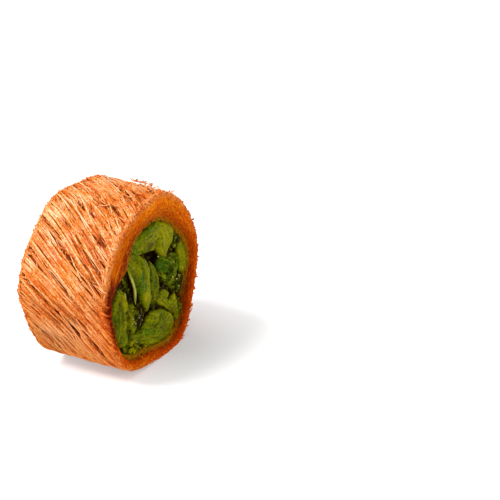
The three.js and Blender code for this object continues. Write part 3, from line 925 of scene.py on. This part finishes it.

# Kernels of the shown end: y, z, length, width, turn, drop and outline (y, z, ...) as the solids have
# them, how yellow and how rough each is, and what only some have: the slope of the top (along y and
# z), a spot that is brown and on some kernels painted dark as shade (y, z, half width), a yellower one, a
# crack, a thickness
kernelValues = ("y", "z", "length", "width", "turn", "drop", "ripe", "rough", "own", "outline")
shownKernels = [
    (0.0, 10.0, 12.0, 6.2, 6, 1.1, 0.52, 0.1, {
        "slope": (0.05, 0.1), "brownAndShade": 0.75, "spot": (-0.2, 8.6, 2.4)}, [
        4.4, 12.9, 0.2, 13.1, -3.2, 12.3, -5.6, 11.0, -6.4, 9.4, -4.4, 7.8, -1.4, 7.2, 0.9, 6.9, 3.1,
        6.5, 3.9, 8.6, 5.2, 10.5, 6.0, 11.9]),
    (7.3, 7.3, 9.0, 6.8, 123, 0.9, 0.9, 0.08, {"slope": (-0.03, 0.05)}, [
        5.3, 12.1, 7.9, 11.3, 10.2, 9.4, 11.2, 7.3, 11.1, 5.0, 9.8, 3.3, 7.3, 3.1, 4.8, 4.6, 3.7, 6.4,
        3.7, 8.6, 4.5, 10.6]),
    (-3.3, 1.9, 15.4, 6.0, 110, 1.0, 0.34, 0.15, {
        "slope": (0.1, -0.02), "yellow": 0.45, "yellowAt": (-2.2, -4.0, 2.7)}, [
        -5.0, 8.3, -2.6, 7.1, -0.7, 5.1, 0.1, 2.8, -0.2, 0.5, 0.1, -2.6, 0.1, -5.4, -1.3, -7.1, -2.7,
        -4.8, -4.0, -2.2, -5.5, 0.6, -7.0, 3.4, -8.0, 6.0, -7.7, 8.0]),
    (2.1, -1.7, 10.8, 3.8, 99, 1.2, 0.35, 0.15, {"slope": (-0.12, 0.0), "brownAndShade": 0.35}, [
        0.9, 4.6, 2.5, 2.2, 3.7, -0.7, 4.4, -3.5, 3.9, -5.9, 2.1, -6.9, 0.7, -5.1, 0.5, -2.5, 0.2, 0.1,
        0.3, 2.5]),
    (-7.2, 1.6, 11.0, 0.75, 104, 0.9, 1.55, 0.12, {"thickness": 1.6}),
    (-12.1, -3.8, 13.6, 4.8, 86, 1.1, 0.6, 0.24, {"slope": (0.1, -0.01)}, [
        -10.9, 2.8, -10.2, 1.2, -9.9, -1.0, -10.3, -2.8, -10.6, -4.9, -10.5, -7.9, -10.3, -10.7, -12.2,
        -11.1, -14.1, -8.9, -15.0, -5.6, -14.6, -2.0, -13.4, 0.9, -12.0, 2.5]),
    (-6.6, -6.3, 8.2, 6.4, 75, 1.6, 0.6, 0.36, {
        "slope": (-0.05, 0.0), "brownAndShade": 1.9, "spot": (-5.2, -6.2, 2.6)}, [
        -7.4, -2.9, -5.1, -3.4, -3.0, -5.4, -2.8, -7.5, -4.3, -8.4, -6.0, -8.1, -6.1, -9.6, -7.0,
        -10.8, -9.2, -9.4, -9.6, -7.0, -9.3, -4.4, -8.7, -2.8]),
    (2.6, -12.7, 14.6, 8.8, 158, 0.8, 0.45, 0.15, {
        "slope": (0.02, 0.03), "crack": [(2.9, -9.6), (2.4, -10.4), (1.4, -11.1), (0.5, -11.8)]}, [
        1.8, -8.2, 4.9, -9.4, 7.5, -11.4, 9.6, -13.8, 9.8, -16.2, 7.9, -17.8, 4.2, -17.6, -0.2, -16.4,
        -3.7, -14.6, -4.9, -12.3, -3.5, -11.1, -2.0, -9.4, -0.5, -8.1]),
    (5.7, -6.8, 6.2, 3.6, 143, 1.3, 0.6, 0.16, {"slope": (0.0, 0.2)}, [
        7.5, -5.3, 5.1, -4.5, 3.3, -5.3, 3.0, -6.7, 4.8, -8.2, 7.0, -9.4, 8.2, -8.3, 6.6, -6.6]),
    (9.4, -10.0, 5.6, 4.2, 120, 1.3, 0.6, 0.16, {
        "slope": (-0.1, -0.12), "brownAndShade": 1.6, "spot": (7.6, -11.6, 2.2)}, [
        11.3, -7.5, 11.7, -10.3, 11.0, -12.6, 8.7, -12.1, 6.4, -9.5, 7.5, -8.3, 9.2, -8.5]),
    (8.9, -0.8, 11.0, 6.8, 145, 1.6, 0.24, 0.4, {"slope": (0.04, 0.1)}, [
        6.3, 3.6, 8.6, 2.8, 11.3, 2.3, 13.1, 0.4, 13.8, -2.5, 13.1, -4.8, 10.6, -5.4, 7.9, -4.4, 5.8,
        -2.1, 4.8, 0.4, 4.8, 2.5]),
    (12.5, -5.7, 6.6, 4.4, 148, 1.9, 0.3, 0.36, {"brownAndShade": 1.3}),
    (14.9, 0.2, 8.8, 4.8, 99, 1.3, 0.5, 0.14, {"slope": (-0.1, 0.0)}, [
        14.3, 5.0, 16.5, 3.6, 17.8, 1.1, 17.9, -1.5, 17.0, -3.7, 15.4, -4.5, 13.6, -3.0, 13.0, -0.7,
        12.7, 2.0, 13.3, 3.9]),
    (-6.9, -13.1, 9.0, 5.6, 152, 1.8, 0.3, 0.42, {"brownAndShade": 1.0}, [
        -9.8, -9.8, -6.8, -10.5, -3.7, -11.3, -3.0, -14.1, -3.7, -16.6, -6.8, -16.2, -9.8, -14.2,
        -11.7, -11.5]),
    (12.7, -13.6, 5.0, 3.8, 100, 1.7, 0.65, 0.34, {"brownAndShade": 0.7}),
    (13.1, 5.2, 4.8, 2.2, 89, 2.2, 0.25, 0.3, {"brownAndShade": 0.6}),
    # painted shade: this kernel lies in shadow, and its brown spot paints its lower end dark
    (-8.2, 1.4, 7.4, 2.6, 107, 2.6, 0.05, 0.25, {"brownAndShade": 2.6, "spot": (-7.8, -1.2, 2.2)}),
]
farRings = [(1, 0.0), (6, 6.6), (9, 12.9)]  # how many kernels, and how far out
farKernel = {
    "length": 9.4, "width": 6.6, "scatter": 0.25, "turn": 35, "drop": 0.8, "moreDrop": 1.1,
    "ripe": (0.2, 0.75), "rough": (0.1, 0.3),
}
kernelForm = {
    "thickness": 5.4, "fullness": 0.85, "groove": (0.10, 0.10), "tilt": 0.12, "gap": 0.05, "lid": 0.35,
    "boxy": 5.0, "apart": 1.045, "facets": 3, "facetSlope": (0.08, 0.26), "facetOut": (0.1, 0.6),
    "shownMore": 0.45,  # how much denser the points of the side that shows are
    "big": 72,          # length times width of a kernel with finer faces
    "curveSteps": 12,
}
# The relief of a kernel: how far it runs along, across and upwards, and its seed
kernelRelief = {
    "wrinkles": (3.4, 0.8, 2.5, 0), "streaks": (2.2, 0.30, math.inf, 4), "lumps": (1.3, 1.1, 1.2, 7),
    "pits": (0.55, 0.45, 0.5, 9), "blots": (1.6, 1.6, math.inf, 3), "shades": (4, 2.5, math.inf, 5),
}


def farKernels():
    draw = solidRandom(29)
    look = random.Random(8)
    scatter = farKernel["scatter"]

    def spread():
        return draw() * 2 - 1

    kernels = []
    for count, ringRadius in farRings:
        for i in range(count):
            angle = 2 * math.pi * (i + scatter * spread()) / count
            kernels.append((
                opening["middle"][0] + ringRadius * math.cos(angle),
                opening["middle"][1] + ringRadius * math.sin(angle),
                farKernel["length"] * (1 + scatter * spread()),
                farKernel["width"] * (1 + scatter * spread()),
                math.degrees(angle) + 90 + farKernel["turn"] * spread(),
                farKernel["drop"] + farKernel["moreDrop"] * draw(),
                look.uniform(*farKernel["ripe"]), look.uniform(*farKernel["rough"]), {},
            ))
    return kernels


# How far a kernel's edge lies from its middle, in each direction
def kernelReach(kernel, direction):
    if "outline" not in kernel:
        turn = math.radians(kernel["turn"])
        return 1 / np.sqrt((np.cos(direction - turn) / (kernel["length"] / 2)) ** 2
                           + (np.sin(direction - turn) / (kernel["width"] / 2)) ** 2)
    corners = np.reshape(kernel["outline"], (-1, 2)) - (kernel["y"], kernel["z"])
    # a smooth curve through the corners
    a, b, c, d = (np.roll(corners, k, axis=0)[:, None] for k in (1, 0, -1, -2))
    t = np.linspace(0, 1, kernelForm["curveSteps"], endpoint=False)[:, None]
    curve = 2 * b + (c - a) * t + (2 * a - 5 * b + 4 * c - d) * t ** 2 + (3 * b - a - 3 * c + d) * t ** 3
    y, z = (0.5 * curve).reshape(-1, 2).T
    return np.interp(direction, np.arctan2(z, y), np.hypot(y, z), period=2 * np.pi)


# Flat facets of a broken kernel: each cuts the top down from some way out, at a slope
def facetLift(dy, dz, reach, seed):
    cuts = random.Random(seed)
    start = cuts.uniform(0, 2 * math.pi)
    lowest = np.full(len(dy), 9.0)
    for k in range(kernelForm["facets"]):
        way = start + 2 * math.pi * (k + cuts.uniform(-0.3, 0.3)) / kernelForm["facets"]
        out = dy * math.cos(way) + dz * math.sin(way)
        slope = cuts.uniform(*kernelForm["facetSlope"])
        lowest = np.minimum(lowest, slope * (cuts.uniform(*kernelForm["facetOut"]) * reach - out))
    return lowest


def nearSpot(y, z, spot):
    return hump(np.hypot(y - spot[0], z - spot[1]), 0, spot[2], 4)


def shapeKernel(sphere, kernel, side, groove, tilt, seed):
    own = kernel["own"]
    p = sphere.copy()
    p[:, 0] += kernelForm["shownMore"]
    p /= np.linalg.norm(p, axis=1, keepdims=True)
    # in the plane of the cut face, and out of it
    turn = math.radians(kernel["turn"])
    share = np.hypot(p[:, 1], p[:, 2])
    direction = np.arctan2(p[:, 2], p[:, 1]) + turn
    spread = kernelReach(kernel, direction) * share ** kernelForm["fullness"] * kernelForm["apart"]
    dy, dz = spread * np.cos(direction), spread * np.sin(direction)
    along = dy * math.cos(turn) + dz * math.sin(turn)
    across = -dy * math.sin(turn) + dz * math.cos(turn)
    thickness = own.get("thickness", min(kernelForm["thickness"], kernel["width"] * 1.3 + 2))
    full = kernelForm["boxy"]
    lift = np.sign(p[:, 0]) * np.maximum(0, 1 - np.minimum(share, 1) ** full) ** (1 / full)
    slope = own.get("slope", (0.0, tilt))
    up = lift * thickness / 2 + (slope[0] * dy + slope[1] * dz) * (p[:, 0] > -0.2)
    up = up + np.minimum(0, facetLift(dy, dz, kernel["width"] / 2, seed)) * (lift > 0)
    up = up - groove * hump(across, 0, kernel["width"] * 0.15) * np.maximum(lift, 0) * thickness / 3
    relief = {}
    for kind, (length, width, height, more) in kernelRelief.items():
        relief[kind] = softNoise(along / length, across / width, up / height, seed + more) - 0.5
    # wrinkles and streaks run along the kernel; crumbly ones are lumpy and pitted as well
    rough = kernel["rough"]
    wrinkles = relief["wrinkles"] * min(1, 4 * rough)
    streaks, lumps = relief["streaks"], relief["lumps"]
    pits = np.clip(relief["pits"] - 0.12, 0, 1)
    swell = 0.55 * wrinkles + 0.20 * streaks + 2.2 * rough * lumps - 2.6 * rough * pits
    length = np.linalg.norm(np.stack([up, dy, dz], 1), axis=1) + 1e-6
    up, dy, dz = (v * (1 + swell / length) for v in (up, dy, dz))
    y, z = kernel["y"] + dy, kernel["z"] + dz
    # painted shade in the wrinkles, between the lumps and in the pits
    crease = 0.02 - 1.3 * wrinkles - 1.6 * rough * lumps + 6 * rough * pits
    if "crack" in own:
        crack = np.array(own["crack"])
        line = np.interp(-z, -crack[:, 1], crack[:, 0])
        inCrack = hump(y, line, 0.36) * ((z < crack[0, 1]) & (z > crack[-1, 1]) & (up > 0))
        up = up - 1.1 * inCrack
        # painted shade in the crack
        crease = np.maximum(crease, 1.1 * inCrack)
    # brown spots, which on some kernels are painted shade
    brownAndShade = own.get("brownAndShade", 0) * nearSpot(y, z, own.get("spot", (kernel["y"], kernel["z"], 99)))
    crease = np.maximum(crease, brownAndShade * (relief["blots"] + 0.5))
    # painted shade: the flanks, down in the gaps, are dark
    crease = np.maximum(crease, np.clip((0.84 - lift) / 0.34, 0, 1))
    angle = np.arctan2(z, y)
    radius = np.minimum(np.hypot(y, z), openingRadius(angle) - kernelForm["gap"])
    x = np.minimum(halfLength - kernel["drop"] - thickness / 2 + up, halfLength - kernelForm["lid"])
    ripe = kernel["ripe"] + 0.5 * streaks + 0.5 * relief["shades"]
    if "yellow" in own:
        ripe = ripe + own["yellow"] * nearSpot(y, z, own["yellowAt"])
    return placeOnRoll(radius, angle, side * x), ripe, np.clip(crease, 0, 1)


def unitSphere(level):
    bpy.ops.mesh.primitive_ico_sphere_add(subdivisions=level, radius=1)
    ball = bpy.context.object
    points = pointsOf(ball.data)
    faces = np.zeros(len(ball.data.polygons) * 3, dtype=int)
    ball.data.polygons.foreach_get("vertices", faces)
    bpy.data.objects.remove(ball)
    return points, faces.reshape(-1, 3)


# One piece of many small forms: (points, triangles, ripe, and painted shade with brown marks) for each
def nutPiece(name, side, forms, smooth):
    faces = []
    first = 0
    for placed, triangles, _, _ in forms:
        faces.append((triangles if side > 0 else triangles[:, ::-1]) + first)
        first += len(placed)
    placed, _, ripe, crease = (np.concatenate(part) for part in zip(*forms))
    piece = newPiece(name, placed, np.concatenate(faces).tolist(), nutFinish, smooth)
    setPointValues(piece, ripe=ripe, crease=crease)
    return piece


def makeKernels(name, kernels, side, draw, seed):
    fine, coarse = unitSphere(6), unitSphere(5)
    least, more = kernelForm["groove"]
    forms = []
    for k, row in enumerate(kernels):
        kernel = dict(zip(kernelValues, row))
        draw()  # the solids use this one for the tips
        groove = least + more * draw()
        tilt = kernelForm["tilt"] * (draw() * 2 - 1)
        big = side > 0 and kernel["length"] * kernel["width"] > kernelForm["big"]
        sphere, triangles = fine if big else coarse
        placed, ripe, crease = shapeKernel(sphere, kernel, side, groove, tilt, seed + 20 * k)
        forms.append((placed, triangles, ripe, crease))
    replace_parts(nutPiece(name, side, forms, smooth=True), "pistachio_filling")


def makeCore():
    bpy.ops.mesh.primitive_uv_sphere_add(segments=core["around"], ring_count=core["rows"], radius=1)
    piece = bpy.context.object
    piece.name = "filling_core"
    co = pointsOf(piece.data)
    angle = np.arctan2(co[:, 1], co[:, 0])
    polar = np.arccos(np.clip(co[:, 2], -1, 1)) / np.pi
    reach = halfLength - core["drop"]
    share = np.clip(np.minimum(polar, 1 - polar) / (0.5 - core["side"]), 0, 1)
    onSide = np.abs(polar - 0.5) < core["side"]
    x = np.where(onSide, (0.5 - polar) / core["side"] * reach, np.sign(0.5 - polar) * reach)
    radius = openingRadius(angle) - opening["clearance"]
    radius = radius * np.where(onSide, 1.0, np.sqrt(share) * 0.3 + share * 0.7)
    y, z = radius * np.cos(angle), radius * np.sin(angle)
    lumps = softNoise(y / core["lump"], z / core["lump"], np.sign(x), 41) - 0.5
    crumbs = softNoise(y / core["crumb"], z / core["crumb"], np.sign(x), 42) - 0.5
    x = np.where(onSide, x, x + np.sign(x) * core["rough"] * (lumps + 0.5 * crumbs))
    for holeY, holeZ, size, depth in core["holes"]:
        x = x - depth * np.exp(-((y - holeY) ** 2 + (z - holeZ) ** 2) / size ** 2) * (x > 0) * ~onSide
    reshape(piece, placeOnRoll(radius, angle, x))
    finishPiece(piece, nutFinish)
    # painted shade: the core, down between the kernels, is nearly all the dark colour
    setPointValues(piece, ripe=0.5 + crumbs, crease=np.clip(1.0 - 0.5 * np.maximum(crumbs, 0), 0, 1))
    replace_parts(piece, "pistachio_filling")
    bpy.ops.object.select_all(action="DESELECT")


makeCore()
shapeDraw = solidRandom(41)
makeKernels("kernels_shown", shownKernels, 1, shapeDraw, 100)
makeKernels("kernels_far", farKernels(), -1, shapeDraw, 900)
print("filling made")

# Small crumbs of nut: where they lie on the cut face (y, z, spread), how many, size, how deep,
# yellow, and brown, which also paints shade on crumbs in the gaps
crumbPatches = [
    (-7.2, -13.5, 2.4, 60, (0.4, 1.5), (1.5, 2.7), 0.85, 0.6),
    (-5.0, -8.5, 1.9, 30, (0.4, 1.3), (2.0, 3.2), 0.4, 0.8),
    (-6.4, -5.6, 2.2, 46, (0.35, 1.0), (1.5, 2.2), 0.5, 0.7),
    (12.5, -11.0, 2.2, 34, (0.5, 1.5), (1.9, 3.1), 0.5, 0.9),
    # painted shade: dark crumbs in a shadowy gap
    (12.8, -5.6, 2.3, 50, (0.4, 1.2), (1.6, 2.6), 0.3, 1.5),
    (8.9, 0.4, 2.6, 70, (0.3, 0.9), (1.3, 2.0), 0.3, 0.5),
    (13.0, 5.6, 1.8, 28, (0.4, 1.2), (1.9, 3.0), 0.4, 0.8),
    (5.6, 3.2, 1.4, 10, (0.4, 1.0), (2.2, 3.2), 0.3, 0.6),
    (-8.0, 1.2, 1.8, 16, (0.4, 1.1), (2.4, 3.4), 0.2, 0.7),
    (0.0, -3.0, 9.0, 60, (0.5, 1.3), (2.4, 3.4), 0.3, 1.2),
    # painted glints: pale specks
    (11.8, -3.4, 1.8, 8, (0.2, 0.5), (1.1, 1.5), 1.9, 0.0),
    (6.0, 2.8, 1.4, 4, (0.2, 0.4), (1.8, 2.4), 1.7, 0.0),
    (-6.2, -6.4, 2.2, 11, (0.2, 0.5), (1.2, 1.7), 1.7, 0.2),
    (-6.5, -13.0, 2.6, 8, (0.2, 0.5), (1.3, 1.9), 1.6, 0.2),
]
# Crumbs that stick to the pastry round the nuts
lipCrumbs = {"count": 130, "reach": (0.84, 1.0), "size": (0.25, 0.6), "ripe": 0.8, "brownAndShade": 0.9}


def makeCrumbs(name, patches, side, seed):
    rng = random.Random(seed)
    pick = rng.uniform
    sphere, triangles = unitSphere(1)
    places = []
    for py, pz, spread, count, sizes, depths, ripe, brownAndShade in patches:
        for _ in range(count):
            y, z = rng.gauss(py, spread * 0.6), rng.gauss(pz, spread * 0.6)
            size = pick(*sizes)
            angle = math.atan2(z, y)
            radius = min(math.hypot(y, z), openingRadius(angle) - 0.35 - size / 2)
            places.append((angle, radius, halfLength - pick(*depths), size, ripe, brownAndShade))
    for _ in range(lipCrumbs["count"]):
        angle = pick(-math.pi, math.pi)
        radius, x, _, _ = facePlace(angle, pick(*lipCrumbs["reach"]), side)
        places.append((angle, radius, x, pick(*lipCrumbs["size"]), lipCrumbs["ripe"], lipCrumbs["brownAndShade"]))
    forms = []
    for angle, radius, x, size, ripe, brownAndShade in places:
        shard = sphere * np.array([[pick(0.7, 1.25)] for _ in range(len(sphere))])
        shard = shard * np.array([[pick(0.5, 1.0), pick(0.4, 1.4), pick(0.4, 1.4)]]) * size / 2
        spin = pick(0, math.pi)
        shard = shard @ np.array([
            [1, 0, 0], [0, math.cos(spin), math.sin(spin)], [0, -math.sin(spin), math.cos(spin)]])
        y, z = radius * math.cos(angle) + shard[:, 1], radius * math.sin(angle) + shard[:, 2]
        placed = placeOnRoll(np.hypot(y, z), np.arctan2(z, y), side * (x + shard[:, 0]))
        ripe = np.full(len(sphere), ripe + rng.gauss(0, 0.25))
        crease = np.full(len(sphere), min(0.9, max(0, brownAndShade * pick(0, 1.6))))
        forms.append((placed, triangles, ripe, crease))
    nutPiece(name, side, forms, smooth=False)


makeCrumbs("nut_crumbs_shown", crumbPatches, 1, 61)
makeCrumbs("nut_crumbs_far", [(0.6, -2.4, 13.0, 260, (0.4, 1.2), (1.6, 3.0), 0.4, 0.6)], -1, 62)
print("crumbs made")


# Floor and light
stage = {
    # painted shadow: the floor glows less near the roll, from the first glow near it to the second further
    # off
    "floorGrey": 0.63, "floorGlow": (0.12, 0.46), "glowAway": (0.004, 0.030), "glowFrom": (0.011, 0.010, 0.0),
    "world": 0.45, "worldMore": 1.0, "worldFrom": (0.75, -0.45, 0.5),
    "key": (8.4, 0.36, (-0.48, -0.50, 0.92)),    # power, size and where from
    "glints": (0.8, 0.12, (0.85, 0.25, 0.35)),   # a weak one that only gives the wet nuts their glints
    "lampAway": 0.9,
}


def makeStage():
    bpy.ops.mesh.primitive_plane_add(size=4, location=(0, 0, 0))
    floor = bpy.context.object
    floor.name = "floor"
    white = bpy.data.materials.new("floor_white")
    white.use_nodes = True
    # the camera sees the floor as white from a glow that falls on nothing else, and the glow is weaker near
    # the roll, a painted shadow round it
    tree = white.node_tree
    seen = addNode(tree, "ShaderNodeLightPath").outputs["Is Camera Ray"]
    place = addNode(tree, "ShaderNodeTexCoord").outputs["Object"]
    away = addNode(tree, "ShaderNodeVectorMath", {0: place, 1: stage["glowFrom"]}, operation="DISTANCE")
    glow = rangeNode(away.outputs["Value"], *stage["glowAway"], *stage["floorGlow"])
    setInputs(tree.nodes["Principled BSDF"], {
        "Base Color": (stage["floorGrey"],) * 3 + (1,), "Roughness": 0.9,
        "Emission Color": (1, 1, 1, 1), "Emission Strength": mathNode("MULTIPLY", seen, glow),
    })
    floor.data.materials.append(white)
    world = bpy.data.worlds.new("studio")
    bpy.context.scene.world = world
    world.use_nodes = True
    # white all round, and brighter where the cut face looks
    tree = world.node_tree
    way = addNode(tree, "ShaderNodeTexCoord").outputs["Generated"]
    towards = addNode(tree, "ShaderNodeVectorMath", {0: way, 1: stage["worldFrom"]}, operation="DOT_PRODUCT")
    more = mathNode("MULTIPLY", mathNode("MAXIMUM", towards.outputs["Value"], 0.0), stage["worldMore"])
    strength = mathNode("ADD", more, stage["world"])
    setInputs(tree.nodes["Background"], {"Color": (1, 1, 1, 1), "Strength": strength})
    addLamp("key")
    addLamp("glints")


def addLamp(name):
    light = bpy.data.lights.new(name, "AREA")
    light.shape = "DISK"
    light.energy, light.size, towards = stage[name]
    lamp = addObject(name, light)
    lamp.location = Vector(towards).normalized() * stage["lampAway"]
    lamp.rotation_mode = "QUATERNION"
    lamp.rotation_quaternion = lamp.location.to_track_quat("Z", "Y")


# How the photo looks at the roll: degrees, pixels of the photo, and metres
view = {
    "elevation": 23.90, "azimuth": 27.62, "focal": 1097.3, "centre": (116.2, 273.4), "away": 0.250,
    "frame": 500, "sensor": 36,
}


def makeCamera():
    e, a = math.radians(view["elevation"]), math.radians(view["azimuth"])
    back = Vector((math.sin(a) * math.cos(e), -math.cos(a) * math.cos(e), math.sin(e)))
    right = Vector((math.cos(a), math.sin(a), 0))
    up = back.cross(right)
    u, v = ((c - view["frame"] / 2) / view["focal"] for c in view["centre"])
    middle = Vector(roll["middle"]) * mm
    camera = addObject("camera", bpy.data.cameras.new("camera"))
    camera.data.sensor_width = view["sensor"]
    camera.data.lens = view["focal"] * view["sensor"] / view["frame"]
    camera.data.clip_start = 0.01
    camera.data.clip_end = 20
    camera.rotation_mode = "QUATERNION"
    camera.rotation_quaternion = Matrix((right, up, back)).transposed().to_quaternion()
    camera.location = middle + (back - right * u + up * v) * view["away"]
    bpy.context.scene.camera = camera


makeStage()
makeCamera()
bpy.context.scene.view_settings.view_transform = "Standard"
print("stage made")
